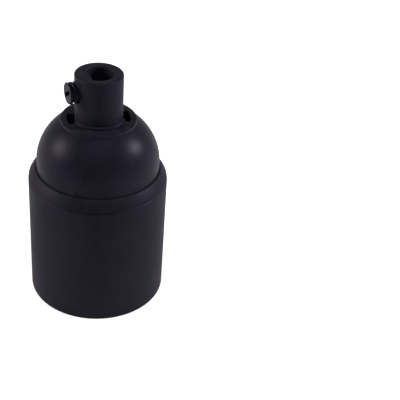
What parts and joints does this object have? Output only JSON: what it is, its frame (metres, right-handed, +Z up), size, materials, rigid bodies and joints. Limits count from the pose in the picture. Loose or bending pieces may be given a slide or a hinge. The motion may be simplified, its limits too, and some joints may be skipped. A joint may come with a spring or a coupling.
{
  "type": "lamp holder",
  "caption": "Domed black lamp holder for a screw-cap lamp, with a plain skirt, a twist-locked cap and a cord grip tube with a clamping screw.",
  "frame": {"origin": "centre of the mouth's rim, on the surface that the holder stands on", "axes": "+Z up along the holder's axis, from the mouth to the cord grip tube; the live terminal lies 15 degrees round from +X"},
  "size_m": [0.039, 0.039, 0.069],
  "materials": {
    "skirt_plastic": "satin",
    "cap_plastic": "satin",
    "tube_plastic": "satin",
    "grip_screw_plastic": "satin",
    "block_plastic": "satin",
    "spring_bronze": "satin",
    "contact_brass": "polished",
    "terminal_brass": "satin",
    "screw_steel": "satin",
    "plate_steel": "satin",
    "rivet_brass": "satin"
  },
  "bodies": {
    "skirt": {"skirt": "skirt_plastic"},
    "cap": {"cap": "cap_plastic", "cord_grip_tube": "tube_plastic", "contact_block": "block_plastic", "side_contact": "spring_bronze", "live_terminal": "terminal_brass", "neutral_terminal": "terminal_brass", "centre_contact_rivet": "rivet_brass", "side_contact_rivet": "rivet_brass"},
    "grip_screw": {"grip_screw": "grip_screw_plastic"},
    "live_screw": {"live_terminal_screw": "screw_steel", "live_clamp_plate": "plate_steel"},
    "neutral_screw": {"neutral_terminal_screw": "screw_steel", "neutral_clamp_plate": "plate_steel"},
    "centre_contact": {"centre_contact": "spring_bronze", "centre_contact_button": "contact_brass"}
  },
  "joints": [
    {"name": "cap_twist", "type": "hinge", "parent": "skirt", "child": "cap", "pos_m": [0, 0, 0.04], "axis": [0, 0, 1], "range_deg": [0, 20]},
    {"name": "grip_screw_travel", "type": "slide", "parent": "cap", "child": "grip_screw", "axis": [0.8829, 0.4695, 0], "range_m": [-0.0022, 0.0045]},
    {"name": "live_screw_travel", "type": "slide", "parent": "cap", "child": "live_screw", "axis": [0, 0, 1], "range_m": [-0.0016, 0.0012]},
    {"name": "neutral_screw_travel", "type": "slide", "parent": "cap", "child": "neutral_screw", "axis": [0, 0, 1], "range_m": [-0.0016, 0.0012]},
    {"name": "centre_contact_press", "type": "slide", "parent": "cap", "child": "centre_contact", "axis": [0, 0, 1], "range_m": [0, 0.0012], "stiffness_N_per_m": 4000, "deforming": ["centre_contact"]}
  ]
}
